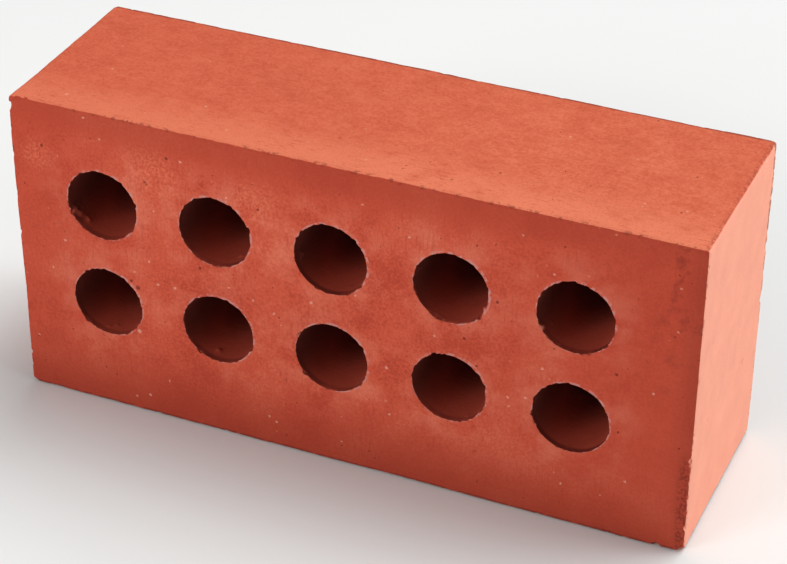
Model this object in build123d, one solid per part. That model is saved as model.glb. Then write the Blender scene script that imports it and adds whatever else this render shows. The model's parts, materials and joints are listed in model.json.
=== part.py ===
from build123d import *
import os

# Perforated clay brick, standing on one of its long narrow faces.
# The clay is pushed through a die with core rods, which makes the outline and the holes,
# and a wire then cuts the column into bricks, which makes the two holed faces.
# X runs along the brick, Y along the holes, Z up. The origin is under the middle of the brick.

# Outline of the clay column, in millimetres
length = 215.0
width = 102.5
die_corner_radius = 2.0

# Distance between two cuts of the wire
thickness = 65.0
cut_edge_radius = 0.8

# Holes left by the core rods
hole_diameter = 22.4
hole_columns = 5
hole_rows = 2
column_pitch = 37.2
row_pitch = 34.0
hole_rim_break = 0.5

# The core rods sit a little off the middle of the die
pattern_offset_x = -3.5
pattern_offset_z = 3.0


def column_section():
    # The die's opening less its core rods, centred on the middle of the holed face
    with BuildSketch() as section:
        RectangleRounded(length, width, die_corner_radius)
        with Locations((pattern_offset_x, pattern_offset_z)):
            with GridLocations(column_pitch, row_pitch, hole_columns, hole_rows):
                Circle(hole_diameter / 2, mode=Mode.SUBTRACT)
    return section.sketch


def cut_brick():
    # One length of the column, with the edges that the wire leaves slightly rounded
    holed_face = Plane(origin=(0, 0, width / 2), x_dir=(1, 0, 0), z_dir=(0, -1, 0))
    with BuildPart() as brick:
        with BuildSketch(holed_face):
            add(column_section())
        extrude(amount=thickness / 2, both=True)
        for face in (brick.faces().sort_by(Axis.Y)[0], brick.faces().sort_by(Axis.Y)[-1]):
            fillet(face.outer_wire().edges(), cut_edge_radius)
        for face in (brick.faces().sort_by(Axis.Y)[0], brick.faces().sort_by(Axis.Y)[-1]):
            rims = [edge for wire in face.inner_wires() for edge in wire.edges()]
            chamfer(rims, hole_rim_break)
    return brick.part


os.makedirs("parts", exist_ok=True)
export_step(cut_brick(), "parts/brick.step")
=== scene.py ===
import json
import math
import random

import bpy
from mathutils import Euler, Matrix, Vector


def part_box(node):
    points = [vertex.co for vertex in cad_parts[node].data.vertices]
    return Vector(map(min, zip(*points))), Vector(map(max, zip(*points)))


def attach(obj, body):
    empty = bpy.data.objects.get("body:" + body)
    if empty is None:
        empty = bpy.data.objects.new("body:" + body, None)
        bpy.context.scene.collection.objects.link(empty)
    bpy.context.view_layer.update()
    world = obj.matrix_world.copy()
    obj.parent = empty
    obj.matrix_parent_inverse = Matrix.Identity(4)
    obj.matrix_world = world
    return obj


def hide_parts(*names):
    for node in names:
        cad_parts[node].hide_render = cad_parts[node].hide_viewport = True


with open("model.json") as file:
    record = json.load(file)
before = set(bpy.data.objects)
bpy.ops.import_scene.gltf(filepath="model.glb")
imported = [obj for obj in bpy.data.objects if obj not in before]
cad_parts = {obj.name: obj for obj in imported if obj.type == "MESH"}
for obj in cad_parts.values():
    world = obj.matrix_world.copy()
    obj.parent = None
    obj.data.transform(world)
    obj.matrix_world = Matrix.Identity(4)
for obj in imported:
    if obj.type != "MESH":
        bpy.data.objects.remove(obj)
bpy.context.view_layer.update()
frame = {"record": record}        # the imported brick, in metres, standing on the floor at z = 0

mm = 0.001
tiny = 0.01 * mm        # points closer than this count as one
low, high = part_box("brick")
middle = (low + high) / 2
half = (high - low) / 2
bores = [mount for mount in frame["record"]["mounts"] if mount["kind"] == "bore"]


# small helpers for working on one object at a time

def selectOnly(*pieces):
    bpy.ops.object.select_all(action="DESELECT")
    for piece in pieces:
        piece.select_set(True)
    bpy.context.view_layer.objects.active = pieces[0]


def applyModifier(piece, kind, **settings):
    selectOnly(piece)
    modifier = piece.modifiers.new(kind.lower(), kind)
    for name, value in settings.items():
        setattr(modifier, name, value)
    bpy.ops.object.modifier_apply(modifier=modifier.name)


def joinAll(pieces, name):
    selectOnly(*pieces)
    bpy.ops.object.join()
    joined = bpy.context.object
    joined.name = name
    bpy.ops.object.transform_apply(location=True, rotation=True, scale=True)
    return joined


def cutAway(piece, cutter):
    applyModifier(piece, "BOOLEAN", operation="DIFFERENCE", solver="MANIFOLD", object=cutter)
    bpy.data.objects.remove(cutter)


# the clay blank: a block with rounded edges and ten core holes

blank = {
    "dieCorner": 1.6 * mm,      # the four edges that slid along the die
    "cutCorner": 0.45 * mm,     # the edges the wire left
    "cornerSteps": 3,
    "holeSides": 96,
    "holeReach": 8 * mm,        # the hole cutters stand out of both faces
}


def bevelEdges(piece, isEdge, width):       # isEdge gets the two ends of an edge
    mesh = piece.data
    selectOnly(piece)
    bpy.ops.object.mode_set(mode="EDIT")
    bpy.ops.mesh.select_mode(type="EDGE")
    bpy.ops.mesh.select_all(action="DESELECT")
    bpy.ops.object.mode_set(mode="OBJECT")
    for edge in mesh.edges:
        a, b = (mesh.vertices[i].co for i in edge.vertices)
        edge.select = isEdge(a, b)
    bpy.ops.object.mode_set(mode="EDIT")
    bpy.ops.mesh.bevel(offset=width, segments=blank["cornerSteps"], affect="EDGES")
    bpy.ops.object.mode_set(mode="OBJECT")


def makeBlank():
    bpy.ops.object.select_all(action="DESELECT")
    bpy.ops.mesh.primitive_cube_add(size=1, location=middle)
    block = bpy.context.object
    block.name = "clayBrick"
    block.scale = high - low
    bpy.ops.object.transform_apply(location=True, rotation=True, scale=True)

    def alongHoles(a, b):
        return abs(a.x - b.x) < tiny and abs(a.z - b.z) < tiny

    def roundCutFace(a, b):
        front = abs(a.y - low.y) < tiny and abs(b.y - low.y) < tiny
        back = abs(a.y - high.y) < tiny and abs(b.y - high.y) < tiny
        return front or back

    bevelEdges(block, alongHoles, blank["dieCorner"])
    bevelEdges(block, roundCutFace, blank["cutCorner"])
    return block


def makeHoleCutter():
    depth = high.y - low.y + 2 * blank["holeReach"]
    rods = []
    for bore in bores:
        bpy.ops.object.select_all(action="DESELECT")
        bpy.ops.mesh.primitive_cylinder_add(
            vertices=blank["holeSides"], radius=bore["dims"]["r_mm"] * mm, depth=depth,
            location=bore["pos_m"], rotation=(math.pi / 2, 0, 0))
        rods.append(bpy.context.object)
    return joinAll(rods, "coreRods")


brick = makeBlank()
cutAway(brick, makeHoleCutter())
print("blank:", len(brick.data.polygons), "faces,", len(bores), "holes")


# wear: small bites out of the edges, the hole rims and the faces

bites = {
    "seed": 11,
    "grainSteps": 2, "grainRough": 0.28, "grainSpread": 0.35,
    "stoneSteps": 3, "stoneRough": 0.03, "stoneSpread": 0.05,
    "stoneFrom": 3 * mm,        # bites over this size are smooth stones, the others rough grains
    "voxel": 0.25 * mm,
    "favourSmall": 2.5,         # the higher, the fewer large ones
    # out and in: how far a bite's middle lies off the edge, rim or face, in shares of its size
    "edgeSpacing": 2.2 * mm, "edgeSize": (0.32 * mm, 1.1 * mm), "edgeOut": (0.30, 0.55),
    "rimCount": 60, "rimSize": (0.35 * mm, 1.05 * mm), "rimIn": (0.0, 0.5),
    "rimAngle": 225, "rimAngleSpread": 95,      # degrees, most at the lower left
    "pitSpacing": 12 * mm, "pitSize": (0.4 * mm, 0.9 * mm), "pitOut": (0.3, 0.7),
    "named": [      # x, y, z and size in mm: the damage that shows in the photo
        (-111.2, -38.0, -7.7, 12.0), (-97.0, -36.6, -4.4, 6.3), (-88.0, -36.2, -4.0, 5.4),
        (109.2, -34.4, -1.6, 4.9), (-109.3, 34.4, 104.4, 4.6),
        (-107.6, -32.7, 98.6, 1.2), (-104.2, -32.9, 101.6, 1.0), (-101.4, -32.9, 102.0, 0.9),
        (10.0, 32.8, 102.7, 1.2), (-106.9, -32.9, 55.0, 0.9), (-107.6, -32.7, 82.0, 1.0),
    ],
    "crumbly": [    # edges that crumble: the two ends in mm, how many bites, largest size
        ((107.4, -32.4, 2.0), (107.4, -32.4, 34.0), 40, 0.75),
        ((107.4, 32.4, 48.0), (107.4, 32.4, 100.0), 30, 1.15),
        ((60.0, -32.4, 0.1), (105.0, -32.4, 0.1), 9, 0.8),
        ((107.2, -31.0, 102.3), (107.2, 31.0, 102.3), 55, 0.75),
    ],
    "crumblySmallest": 0.4, "crumblyScatter": 0.4,      # in mm too
}
rng = random.Random(bites["seed"])


def makeLump(steps, rough):     # each kind is modelled once and copied
    bpy.ops.object.select_all(action="DESELECT")
    bpy.ops.mesh.primitive_ico_sphere_add(subdivisions=steps, radius=1)
    lump = bpy.context.object
    bpy.ops.object.mode_set(mode="EDIT")
    bpy.ops.mesh.select_all(action="SELECT")
    bpy.ops.transform.vertex_random(offset=rough, uniform=1, seed=bites["seed"])
    bpy.ops.object.mode_set(mode="OBJECT")
    return lump


def mostlySmall(sizes):
    small, large = sizes
    return small + (large - small) * rng.random() ** bites["favourSmall"]


def edgeSpots():
    spots = []
    for axis in range(3):
        across = [a for a in range(3) if a != axis]
        for first in (-1, 1):
            for second in (-1, 1):
                out = Vector((0, 0, 0))
                out[across[0]] = first
                out[across[1]] = second
                for i in range(int(2 * half[axis] / bites["edgeSpacing"])):
                    place = middle + Vector(out[k] * half[k] for k in range(3))
                    place[axis] += rng.uniform(-1, 1) * half[axis]
                    size = mostlySmall(bites["edgeSize"])
                    spots.append((place + out * size * rng.uniform(*bites["edgeOut"]), size))
    return spots


def rimSpots():
    spots = []
    for bore in bores:
        radius = bore["dims"]["r_mm"] * mm
        for side in (low.y, high.y):
            for i in range(bites["rimCount"]):
                angle = rng.gauss(math.radians(bites["rimAngle"]), math.radians(bites["rimAngleSpread"]))
                size = mostlySmall(bites["rimSize"])
                reach = radius - size * rng.uniform(*bites["rimIn"])
                x = bore["pos_m"][0] + reach * math.cos(angle)
                z = bore["pos_m"][2] + reach * math.sin(angle)
                spots.append((Vector((x, side, z)), size))
    return spots


def pitSpots():
    spots = []
    for axis in range(3):
        u, v = [a for a in range(3) if a != axis]
        area = (high[u] - low[u]) * (high[v] - low[v])
        for side, sign in ((low[axis], -1), (high[axis], 1)):
            for i in range(int(area / bites["pitSpacing"] ** 2)):
                size = mostlySmall(bites["pitSize"])
                place = Vector((0, 0, 0))
                place[axis] = side + sign * size * rng.uniform(*bites["pitOut"])
                place[u] = rng.uniform(low[u], high[u])
                place[v] = rng.uniform(low[v], high[v])
                spots.append((place, size))
    return spots


def damageSpots():
    spots = [(Vector((x, y, z)) * mm, size * mm) for x, y, z, size in bites["named"]]
    scatter = bites["crumblyScatter"]
    for start, end, count, size in bites["crumbly"]:
        for i in range(count):
            place = Vector(start).lerp(Vector(end), rng.random())
            jitter = Vector([rng.uniform(-scatter, scatter) for k in range(3)])
            spots.append(((place + jitter) * mm, rng.uniform(bites["crumblySmallest"], size) * mm))
    return spots


def makeLumps(spots):
    grain = makeLump(bites["grainSteps"], bites["grainRough"])
    stone = makeLump(bites["stoneSteps"], bites["stoneRough"])
    copies = []
    for place, size in spots:
        lump = stone if size > bites["stoneFrom"] else grain
        spread = bites["stoneSpread"] if lump is stone else bites["grainSpread"]
        copy = lump.copy()
        copy.data = lump.data.copy()
        turn = Euler([rng.uniform(0, 2 * math.pi) for i in range(3)])
        shape = Vector([size * rng.uniform(1 - spread, 1 + spread) for i in range(3)])
        copy.matrix_world = Matrix.LocRotScale(place, turn, shape)
        bpy.context.collection.objects.link(copy)
        copies.append(copy)
    bpy.data.objects.remove(grain)
    bpy.data.objects.remove(stone)
    joined = joinAll(copies, "lumps")
    applyModifier(joined, "REMESH", mode="VOXEL", voxel_size=bites["voxel"])    # melts overlaps together
    return joined


spots = edgeSpots() + rimSpots() + pitSpots() + damageSpots()
cutAway(brick, makeLumps(spots))
print("wear:", len(spots), "bites,", len(brick.data.polygons), "faces")


# crumbs: grains of clay that the core rods left on the hole walls, near the faces

crumbs = {
    "perRim": 5, "size": (0.5 * mm, 1.0 * mm),
    "depth": (1.0, 7.0),        # mm under the face
    "firstHole": [              # the clump in one hole: degrees, depth and size in mm
        (202, 2.0, 1.0), (214, 3.0, 1.2), (208, 5.0, 1.0), (228, 4.2, 0.8),
    ],
}


def crumbSpots():
    spots = []
    for number, bore in enumerate(bores):
        radius = bore["dims"]["r_mm"] * mm
        rim = []
        for i in range(crumbs["perRim"]):
            for side in (0, 1):
                depth = rng.uniform(*crumbs["depth"]) * mm
                y = low.y + depth if side == 0 else high.y - depth
                rim.append((rng.uniform(0, 360), y, mostlySmall(crumbs["size"])))
        if number == 0:
            rim += [(angle, low.y + depth * mm, size * mm) for angle, depth, size in crumbs["firstHole"]]
        for angle, y, size in rim:
            x = bore["pos_m"][0] + radius * math.cos(math.radians(angle))
            z = bore["pos_m"][2] + radius * math.sin(math.radians(angle))
            spots.append((Vector((x, y, z)), size))
    return spots


grit = crumbSpots()
brick = joinAll([brick, makeLumps(grit)], "clayBrick")      # the remesh below melts them in
print("crumbs:", len(grit))


# relief: the uneven fired skin, kept inside the size of the brick

relief = {
    "voxel": 0.42 * mm,
    "triangles": 190000,
    "restingLevel": 0.8,        # noise above this level pushes out, below it presses in
    "smoothAngle": 38,          # degrees, sharper edges stay sharp
    "layers": [                 # name, size of the noise, depth, octaves
        ("slump", 45 * mm, 0.60 * mm, 1),
        ("lumps", 9 * mm, 0.26 * mm, 2),
        ("skin", 2.0 * mm, 0.11 * mm, 2),
    ],
}


def pressRelief(piece):
    applyModifier(piece, "REMESH", mode="VOXEL", voxel_size=relief["voxel"])
    for name, size, depth, octaves in relief["layers"]:
        texture = bpy.data.textures.new(name, "CLOUDS")
        texture.noise_scale = size
        texture.noise_depth = octaves
        applyModifier(piece, "DISPLACE", texture=texture, strength=depth, mid_level=relief["restingLevel"],
                      texture_coords="LOCAL", direction="NORMAL")
    allTriangles = 2 * len(piece.data.polygons)     # the remesh made quads
    applyModifier(piece, "DECIMATE", ratio=relief["triangles"] / allTriangles)


def keepInside(piece):      # nothing stands out of the block
    for vertex in piece.data.vertices:
        for axis in range(3):
            vertex.co[axis] = min(max(vertex.co[axis], low[axis]), high[axis])


def closeSkin(piece):       # one closed skin of triangles, without folded flaps
    selectOnly(piece)
    bpy.ops.object.mode_set(mode="EDIT")
    bpy.ops.mesh.select_mode(type="VERT")
    bpy.ops.mesh.select_all(action="SELECT")
    bpy.ops.mesh.remove_doubles(threshold=tiny)
    bpy.ops.mesh.quads_convert_to_tris()
    bpy.ops.mesh.select_all(action="DESELECT")
    bpy.ops.object.mode_set(mode="OBJECT")
    uses = [0] * len(piece.data.vertices)
    for face in piece.data.polygons:
        for corner in face.vertices:
            uses[corner] += 1
    for vertex, count in zip(piece.data.vertices, uses):
        vertex.select = count < 3       # the tip of a folded flap
    bpy.ops.object.mode_set(mode="EDIT")
    bpy.ops.mesh.delete(type="VERT")
    bpy.ops.mesh.select_all(action="SELECT")
    bpy.ops.mesh.normals_make_consistent(inside=False)
    bpy.ops.object.mode_set(mode="OBJECT")
    bpy.ops.object.shade_smooth_by_angle(angle=math.radians(relief["smoothAngle"]))


pressRelief(brick)
keepInside(brick)
closeSkin(brick)
print("relief:", len(brick.data.polygons), "faces")


# fired clay: screen colours, how it shines, and its clearest marks

clay = {
    # some of these colours also paint light: highlights on the narrow sides, the right end and the hole
    # rims, and shade on the edges, in nicks and in the holes
    "body": (216, 92, 66), "pale": (228, 112, 84), "deep": (192, 71, 50),
    "side": (208, 98, 66), "paleSide": (228, 124, 90), "scuffsAndHighlight": (238, 134, 100),
    "dustAndHighlight": (250, 175, 149), "speck": (240, 186, 164), "rim": (208, 142, 134),
    "stainAndShade": (112, 38, 28), "pitsAndShade": (92, 27, 19), "wall": (186, 74, 54), "holeShade": (42, 13, 9),
    "smoothest": 0.74, "rougher": 0.24, "specular": 0.2,
    "bumpStrength": 0.6, "bumpDepth": 0.35 * mm,
    "darkSpots": [      # all three lists: x, z and radius in mm on the front
        (-66.8, 45.6, 0.9), (-69.0, 47.5, 0.6), (-62.5, 83.4, 0.5), (-45.4, 58.1, 0.6), (38.6, 56.1, 0.6),
        (48.2, 70.9, 0.6), (-25.9, 83.0, 0.5), (-55.0, 93.0, 0.6), (-96.7, 87.9, 0.6), (85.6, 36.9, 0.5),
        (84.2, 56.2, 0.6), (42.6, 47.7, 0.5),
    ],
    "scuffs": [(-99.0, 85.0, 8.0), (-60.0, 87.0, 11.0), (-28.0, 84.0, 10.0)],
    "paleSpots": [
        (-67.2, 29.9, 0.85), (14.5, 39.2, 0.6), (64.6, 84.3, 0.5), (29.5, 54.5, 0.5), (52.3, 39.6, 0.5),
        (-67.7, 51.1, 0.5), (-28.3, 51.2, 0.5), (95.1, 52.8, 0.5), (-54.2, 48.8, 0.6), (21.4, 85.6, 0.5),
        (-59.9, 48.6, 0.5), (15.5, 22.8, 0.5),
    ],
}


def shade(r, g, b):     # screen colour to the linear value a socket takes
    def linear(value):
        value /= 255
        return value / 12.92 if value <= 0.04045 else ((value + 0.055) / 1.055) ** 2.4
    return (linear(r), linear(g), linear(b), 1)


material = bpy.data.materials.new("firedClay")
material.use_nodes = True
nodes = material.node_tree.nodes
links = material.node_tree.links


def plug(socket, value):
    if isinstance(value, bpy.types.NodeSocket):
        links.new(value, socket)
    else:
        socket.default_value = value


def calc(operation, *values):
    node = nodes.new("ShaderNodeMath")
    node.operation = operation
    for socket, value in zip(node.inputs, values):
        plug(socket, value)
    return node.outputs[0]


def ease(value, start, end):        # 0 at start, 1 at end, smooth between
    node = nodes.new("ShaderNodeMapRange")
    node.interpolation_type = "SMOOTHSTEP"
    plug(node.inputs["Value"], value)
    node.inputs["From Min"].default_value = start
    node.inputs["From Max"].default_value = end
    return node.outputs[0]


def both(first, *others):       # masks multiplied together
    for other in others:
        first = calc("MULTIPLY", first, other)
    return first


def either(first, *others):     # the strongest of the masks
    for other in others:
        first = calc("MAXIMUM", first, other)
    return first


def weighed(*parts):        # values added up, each times its share
    total = 0.0
    for value, share in parts:
        total = calc("ADD", total, calc("MULTIPLY", value, share))
    return total


def onFace(turned, under):      # turned along the axis, and not far under the outside
    return both(ease(calc("ABSOLUTE", turned), 0.6, 0.85), ease(under, 4.0, 2.5))


def stretched(x, y, z):     # millimetre coordinates times a factor along each axis
    node = nodes.new("ShaderNodeVectorMath")
    node.operation = "MULTIPLY"
    links.new(place.outputs["Object"], node.inputs[0])
    node.inputs[1].default_value = (x / mm, y / mm, z / mm)
    return node.outputs[0]


def noise(vector, size, detail=3.0, rough=0.55):
    node = nodes.new("ShaderNodeTexNoise")
    links.new(vector, node.inputs["Vector"])
    node.inputs["Scale"].default_value = 1 / size
    node.inputs["Detail"].default_value = detail
    node.inputs["Roughness"].default_value = rough
    return node.outputs["Fac"]


def wobbled(vector, along, scale, push):    # coordinates pushed about by noise, for ragged outlines
    wobble = nodes.new("ShaderNodeTexNoise")
    links.new(along, wobble.inputs["Vector"])
    wobble.inputs["Scale"].default_value = scale
    shift = nodes.new("ShaderNodeVectorMath")
    shift.operation = "MULTIPLY_ADD"
    links.new(wobble.outputs["Color"], shift.inputs[0])
    shift.inputs[1].default_value = push
    links.new(vector, shift.inputs[2])
    return shift.outputs[0]


def grains(vector, size, radius, share):    # ragged dots up to this radius in a share of the cells
    cell = nodes.new("ShaderNodeTexVoronoi")
    links.new(wobbled(vector, vector, scale=1.6, push=(1, 1, 1)), cell.inputs["Vector"])
    cell.inputs["Scale"].default_value = 1 / size
    pick = nodes.new("ShaderNodeSeparateColor")
    links.new(cell.outputs["Color"], pick.inputs[0])
    reach = calc("MULTIPLY", pick.outputs[1], radius / size)
    dot = calc("SUBTRACT", reach, cell.outputs["Distance"])
    return both(ease(dot, 0.0, 0.04), calc("LESS_THAN", pick.outputs[0], share))


def dotsAt(vector, dots, solid=0.6):        # single dots on the front, solid up to a share of the radius
    total = 0.0
    for across, up, radius in dots:
        node = nodes.new("ShaderNodeVectorMath")
        node.operation = "DISTANCE"
        links.new(vector, node.inputs[0])
        node.inputs[1].default_value = (across, 0, up)
        total = either(total, ease(node.outputs["Value"], radius, radius * solid))
    return total


def blendColour(amount, under, over):
    node = nodes.new("ShaderNodeMix")
    node.data_type = "RGBA"
    plug(node.inputs[0], amount)
    plug(node.inputs[6], under)     # sockets 6 and 7 are the two colours
    plug(node.inputs[7], over)
    return node.outputs[2]


def tint(under, name, mask, strength=1.0):
    return blendColour(both(mask, strength), under, shade(*clay[name]))


# coordinates in mm, and the way the surface faces
place = nodes.new("ShaderNodeTexCoord")
evenly = stretched(1, 1, 1)
split = nodes.new("ShaderNodeSeparateXYZ")
links.new(evenly, split.inputs[0])
x, y, z = split.outputs
facing = nodes.new("ShaderNodeSeparateXYZ")
links.new(nodes.new("ShaderNodeNewGeometry").outputs["Normal"], facing.inputs[0])
facingX, facingY, facingZ = facing.outputs

# how far under each pair of faces a point lies: the ends, the holed beds and the narrow sides
underEnds = calc("SUBTRACT", half.x / mm, calc("ABSOLUTE", x))
underBeds = calc("SUBTRACT", half.y / mm, calc("ABSOLUTE", y))
underSides = calc("SUBTRACT", half.z / mm, calc("ABSOLUTE", calc("SUBTRACT", z, middle.z / mm)))
onEnds = onFace(facingX, underEnds)
onBeds = onFace(facingY, underBeds)
onSides = onFace(facingZ, underSides)
onFront = both(onBeds, calc("LESS_THAN", y, 0.0))
uprightArris = calc("ADD", underEnds, underBeds)
longArris = calc("ADD", underSides, underBeds)

# distance from the nearest hole's wall, outwards along the bed face
columns = sorted({round(bore["pos_m"][0] / mm, 3) for bore in bores})
rows = sorted({round(bore["pos_m"][2] / mm, 3) for bore in bores})
holeRadius = bores[0]["dims"]["r_mm"]
pitch = columns[1] - columns[0]
outermost = len(columns) // 2
alongRow = calc("SUBTRACT", x, columns[outermost])
column = calc("ROUND", calc("DIVIDE", alongRow, pitch))
column = calc("MINIMUM", calc("MAXIMUM", column, -outermost), outermost)
acrossX = calc("SUBTRACT", alongRow, calc("MULTIPLY", column, pitch))
aboveMiddle = calc("SUBTRACT", z, (rows[0] + rows[1]) / 2)
acrossZ = calc("SUBTRACT", calc("ABSOLUTE", aboveMiddle), (rows[1] - rows[0]) / 2)
acrossZ = calc("MULTIPLY", acrossZ, calc("SIGN", aboveMiddle))
fromAxis = calc("SQRT", calc("ADD", calc("POWER", acrossX, 2.0), calc("POWER", acrossZ, 2.0)))
fromRim = calc("SUBTRACT", fromAxis, holeRadius)
turnedIn = both(ease(calc("ABSOLUTE", facingY), 0.85, 0.55), ease(underBeds, 0.1, 0.5))
inHole = both(ease(fromRim, 2.0, 1.0), either(turnedIn, ease(underBeds, 0.8, 1.6)))

# broad and fine mottling, with a paler skin on the narrow sides
broad = noise(evenly, size=38, detail=2.0)
cloudy = noise(evenly, size=9)
grain = noise(evenly, size=0.9, rough=0.6)
tone = weighed((broad, 0.42), (cloudy, 0.30), (grain, 0.40))
colour = tint(shade(*clay["deep"]), "body", ease(tone, 0.42, 0.58))
colour = tint(colour, "pale", ease(tone, 0.56, 0.72))
streaks = noise(stretched(0.5, 1.0, 1.0), size=2.2, rough=0.6)
sideTone = weighed((cloudy, 0.20), (grain, 0.45), (streaks, 0.35))
sideColour = tint(shade(*clay["side"]), "paleSide", ease(sideTone, 0.32, 0.66))
colour = blendColour(both(onSides, 0.7), colour, sideColour)
# painted highlight: the narrow sides paler towards the front edge
scuffsAndHighlight = both(onSides, ease(y, -10.0, -29.0), ease(cloudy, 0.1, 0.5))
colour = tint(colour, "scuffsAndHighlight", scuffsAndHighlight, strength=0.75)
colour = tint(colour, "deep", both(onSides, ease(x, 60.0, -90.0)), strength=0.19)

# deeper red clay and painted shade towards the four edges of the beds, least at the left
deeperAndShaded = either(ease(x, 20.0, 100.0), ease(z, 34.0, 2.0), ease(z, 84.0, 98.0))
deeperAndShaded = either(deeperAndShaded, both(ease(x, -60.0, -104.0), 0.7))
colour = tint(colour, "deep", both(deeperAndShaded, onBeds), strength=0.68)

# drag lines: upright on the wire-cut faces, lengthways on the narrow sides
upright = noise(stretched(1.5, 1.5, 0.16), size=1.0)
lengthways = noise(stretched(0.30, 1.9, 1.9), size=1.0)
patchy = ease(noise(evenly, size=12, detail=2.0), 0.38, 0.58)
dragBeds = both(ease(upright, 0.54, 0.70), patchy, onBeds)
dragSides = both(ease(lengthways, 0.54, 0.70), patchy, onSides)
colour = tint(colour, "deep", either(dragBeds, dragSides), strength=0.55)
pepper = ease(noise(evenly, size=0.55, detail=2.0, rough=0.7), 0.55, 0.70)
colour = tint(colour, "deep", both(pepper, either(onBeds, onSides)), strength=0.5)

# dry dust between the holes and a little over the ends, and a painted highlight that makes the right end
# much paler
dusty = both(ease(fromRim, 14.0, 1.0), ease(cloudy, 0.40, 0.68), onBeds, 0.12)
endDustAndHighlight = weighed((calc("GREATER_THAN", x, 0.0), 0.72), (cloudy, 0.20))
endDustAndHighlight = both(onEnds, endDustAndHighlight, ease(underEnds, 1.5, 0.8))
colour = tint(colour, "dustAndHighlight", either(dusty, endDustAndHighlight))

# dark stain smudges on the beds near the right end, and painted shade in bands at the right, below and
# above
smudgesAndShade = ease(noise(evenly, size=5, detail=4.0, rough=0.65), 0.48, 0.70)
smudgesAndShade = both(smudgesAndShade, ease(x, 88.0, 103.0), ease(z, 30.0, 85.0), 0.5)
# painted shade: darker bands at the right end, along the bottom and along the top of the beds
shadeBands = either(both(ease(x, 98.0, 107.0), 0.28), both(ease(z, 26.0, 0.0), 0.20))
shadeBands = either(shadeBands, both(ease(z, 90.0, 101.0), 0.10))
smudgesAndShade = both(either(smudgesAndShade, shadeBands), onBeds)

# dark crust on the crumbling edges and a little on the others, partly painted shade in small nicks, with a
# painted shade line along the back top edge and a painted contact shadow along the foot
# x + y, x - y, y + z or x + z is largest at an edge, and the next three values are how large
corner = half.x / mm + half.y / mm
ridge = half.y / mm + high.z / mm
shoulder = half.x / mm + high.z / mm
backRight = both(ease(calc("ADD", x, y), corner - 3.6, corner - 1.2), ease(z, 40.0, 75.0))
backRight = both(backRight, ease(noise(evenly, size=1.5), 0.40, 0.54))
frontRight = both(ease(calc("SUBTRACT", x, y), corner - 6.0, corner - 2.5), ease(z, 45.0, 25.0))
frontRight = both(frontRight, ease(noise(evenly, size=0.9), 0.40, 0.58), 0.85)
frontRight = both(frontRight, ease(facingX, 0.8, 0.3))      # not on the end
topRight = both(ease(calc("ADD", x, z), shoulder - 2.8, shoulder - 1.2), onSides)
topRight = both(topRight, ease(noise(evenly, size=1.1), 0.36, 0.56), 0.6)
# painted shade: a dark line on the back top edge, and a painted contact shadow along the foot
backTop = ease(calc("ADD", y, z), ridge - 2.1, ridge - 1.0)
footing = ease(z, 1.8, 0.5)
longArrisShade = both(either(backTop, footing), 0.8, ease(noise(evenly, size=4.0), 0.30, 0.50))
crustAndShade = either(backRight, frontRight, topRight, longArrisShade)
# painted shade in small nicks along the other edges, partly crust
nickShadeAndCrust = either(ease(uprightArris, 2.6, 0.6), ease(longArris, 2.0, 0.8))
nickShadeAndCrust = both(nickShadeAndCrust, ease(noise(evenly, size=1.8), 0.54, 0.64))
crustAndShade = either(both(crustAndShade, 0.85), both(nickShadeAndCrust, 0.5))
colour = tint(colour, "stainAndShade", either(smudgesAndShade, crustAndShade))

# pale and dark grains, few of them on the ends, and the clearest marks on the front
fewOnEnds = calc("SUBTRACT", 1.0, calc("MULTIPLY", onEnds, 0.75))
inClouds = both(ease(cloudy, 0.38, 0.6), fewOnEnds)
paleGrains = both(grains(evenly, size=2.4, radius=0.6, share=0.05), inClouds)
darkGrains = both(grains(stretched(1.1, 0.9, 1.05), size=2.0, radius=0.5, share=0.07), inClouds)
flat = wobbled(stretched(1, 0, 1), evenly, scale=1.4, push=(0.8, 0, 0.8))
scuffed = both(dotsAt(flat, clay["scuffs"], solid=0.1), onFront)
scuffed = both(scuffed, ease(grain, 0.42, 0.62), ease(cloudy, 0.3, 0.55))
colour = tint(colour, "scuffsAndHighlight", scuffed, strength=0.4)
paleMarks = both(dotsAt(flat, clay["paleSpots"]), onFront)
darkMarks = both(dotsAt(flat, clay["darkSpots"]), onFront)
colour = tint(colour, "speck", either(paleGrains, paleMarks), strength=0.5)
colour = tint(colour, "pitsAndShade", either(darkGrains, darkMarks), strength=0.7)

# a painted highlight: a thin pale broken line round each hole, widest at the upper right
upRight = weighed((acrossX, 0.6 / holeRadius), (acrossZ, 0.8 / holeRadius))
rimHighlight = ease(calc("SUBTRACT", fromRim, calc("MULTIPLY", upRight, 0.35)), 1.0, 0.6)
rimHighlight = both(rimHighlight, calc("SUBTRACT", 1.0, inHole), ease(underBeds, 1.3, 0.8))
rimHighlight = both(rimHighlight, ease(noise(evenly, size=2.0, detail=4.0, rough=0.65), 0.45, 0.56))
colour = tint(colour, "rim", rimHighlight, strength=0.85)

# dark walls in the holes, painted shade darkest deep inside and towards the upper left, with painted shade
# in the nicks at the rim
rings = noise(stretched(0.2, 2.6, 0.2), size=1.0, detail=2.0)
depth = calc("ADD", underBeds, calc("MULTIPLY", calc("SUBTRACT", rings, 0.5), 14.0))
lowRight = weighed((acrossX, 0.77), (acrossZ, -0.64))
# painted shade: darker deep inside and on the upper left wall
holeShadeMask = either(ease(depth, 4.0, 40.0), both(ease(lowRight, 5.0, -8.0), 0.85))
wall = tint(shade(*clay["wall"]), "holeShade", holeShadeMask)
colour = blendColour(both(inHole, 0.95), colour, wall)
# painted shade in the nicks just outside the rim
nickShade = both(inHole, ease(fromRim, 0.0, 0.4), ease(underBeds, 3.0, 1.5))
colour = tint(colour, "pitsAndShade", nickShade, strength=0.75)

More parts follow.
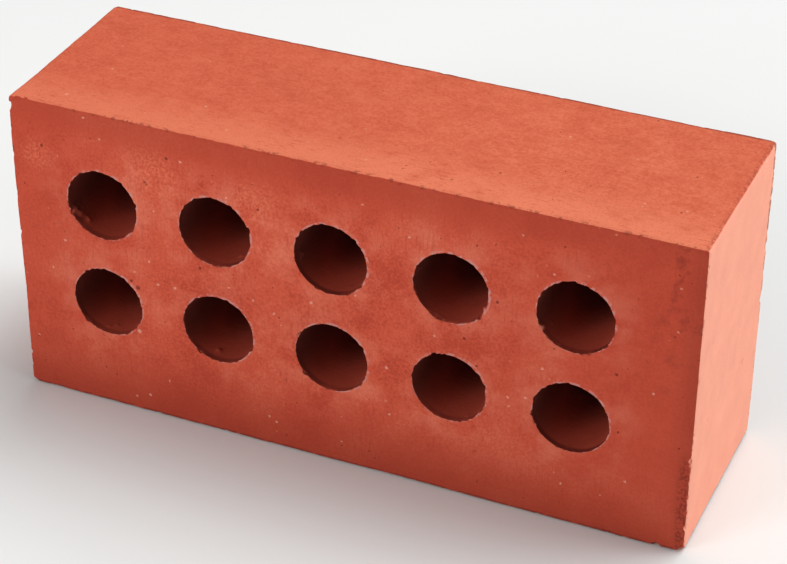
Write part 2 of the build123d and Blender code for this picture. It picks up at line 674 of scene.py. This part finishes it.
# fine relief for the shader alone
height = weighed((grain, 0.5), (noise(evenly, size=0.35, detail=2.0), 0.35))
bump = nodes.new("ShaderNodeBump")
bump.inputs["Strength"].default_value = clay["bumpStrength"]
bump.inputs["Distance"].default_value = clay["bumpDepth"]
links.new(height, bump.inputs["Height"])

shader = nodes["Principled BSDF"]
roughness = calc("ADD", clay["smoothest"], calc("MULTIPLY", cloudy, clay["rougher"]))
links.new(colour, shader.inputs["Base Color"])
links.new(bump.outputs["Normal"], shader.inputs["Normal"])
links.new(roughness, shader.inputs["Roughness"])
shader.inputs["Specular IOR Level"].default_value = clay["specular"]

brick.data.materials.clear()
brick.data.materials.append(material)
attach(brick, "root")
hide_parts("brick")
print("clay:", len(nodes), "nodes")


# floor, light and camera

studio = {
    "floorSize": 12.0, "floorRoughness": 0.9, "floorSpecular": 0.1,
    "nearShade": (234, 238, 237), "nearReach": 0.11,        # the floor is a little greyer near the brick
    "farShade": (247, 248, 247), "farReach": 0.24,
    "ambient": 0.24,
    "lamps": [      # name, place, size and power
        ("key", (0.95, 1.00, 3.08), 2.5, 87.5),
        ("side", (1.85, 0.70, 0.42), 1.0, 13.4),
        ("fill", (-0.36, -0.70, 0.38), 0.35, 2.2),
    ],
    "azimuth": 23.22, "elevation": 32.74, "roll": 0.34,     # degrees
    "distance": 0.7312, "aim": (3.0 * mm, -1.4 * mm, 47.4 * mm), "lens": 111.4, "clipStart": 0.01,
}


def makeFloor():
    bpy.ops.object.select_all(action="DESELECT")
    bpy.ops.mesh.primitive_plane_add(size=studio["floorSize"])
    floor = bpy.context.object
    floor.name = "floor"
    pale = bpy.data.materials.new("paleFloor")
    pale.use_nodes = True
    tree = pale.node_tree
    spread = tree.nodes.new("ShaderNodeTexCoord")
    reach = tree.nodes.new("ShaderNodeVectorMath")
    reach.operation = "LENGTH"
    tree.links.new(spread.outputs["Object"], reach.inputs[0])
    ramp = tree.nodes.new("ShaderNodeValToRGB")
    near, far = ramp.color_ramp.elements
    near.position = studio["nearReach"]
    near.color = shade(*studio["nearShade"])
    far.position = studio["farReach"]
    far.color = shade(*studio["farShade"])
    tree.links.new(reach.outputs["Value"], ramp.inputs["Fac"])
    surface = tree.nodes["Principled BSDF"]
    tree.links.new(ramp.outputs["Color"], surface.inputs["Base Color"])
    surface.inputs["Roughness"].default_value = studio["floorRoughness"]
    surface.inputs["Specular IOR Level"].default_value = studio["floorSpecular"]
    floor.data.materials.append(pale)


def softbox(name, spot, size, power):
    bpy.ops.object.light_add(type="AREA", location=spot)
    lamp = bpy.context.object
    lamp.name = name
    lamp.data.size = size
    lamp.data.energy = power
    lamp.rotation_euler = (middle - Vector(spot)).to_track_quat("-Z", "Y").to_euler()


def makeWorld():
    world = bpy.data.worlds.new("studio")
    bpy.context.scene.world = world
    world.use_nodes = True
    background = world.node_tree.nodes["Background"]
    background.inputs["Color"].default_value = (1, 1, 1, 1)
    background.inputs["Strength"].default_value = studio["ambient"]


def makeCamera():
    azimuth, elevation = math.radians(studio["azimuth"]), math.radians(studio["elevation"])
    back = Vector((math.sin(azimuth) * math.cos(elevation),
                   -math.cos(azimuth) * math.cos(elevation), math.sin(elevation)))
    bpy.ops.object.camera_add(location=Vector(studio["aim"]) + back * studio["distance"])
    camera = bpy.context.object
    level = (-back).to_track_quat("-Z", "Y").to_matrix()
    camera.rotation_euler = (level @ Matrix.Rotation(math.radians(studio["roll"]), 3, "Z")).to_euler()
    camera.data.lens = studio["lens"]
    camera.data.clip_start = studio["clipStart"]
    bpy.context.scene.camera = camera


makeFloor()
for lamp in studio["lamps"]:
    softbox(*lamp)
makeWorld()
makeCamera()
bpy.context.scene.view_settings.view_transform = "Standard"
print("studio: set")
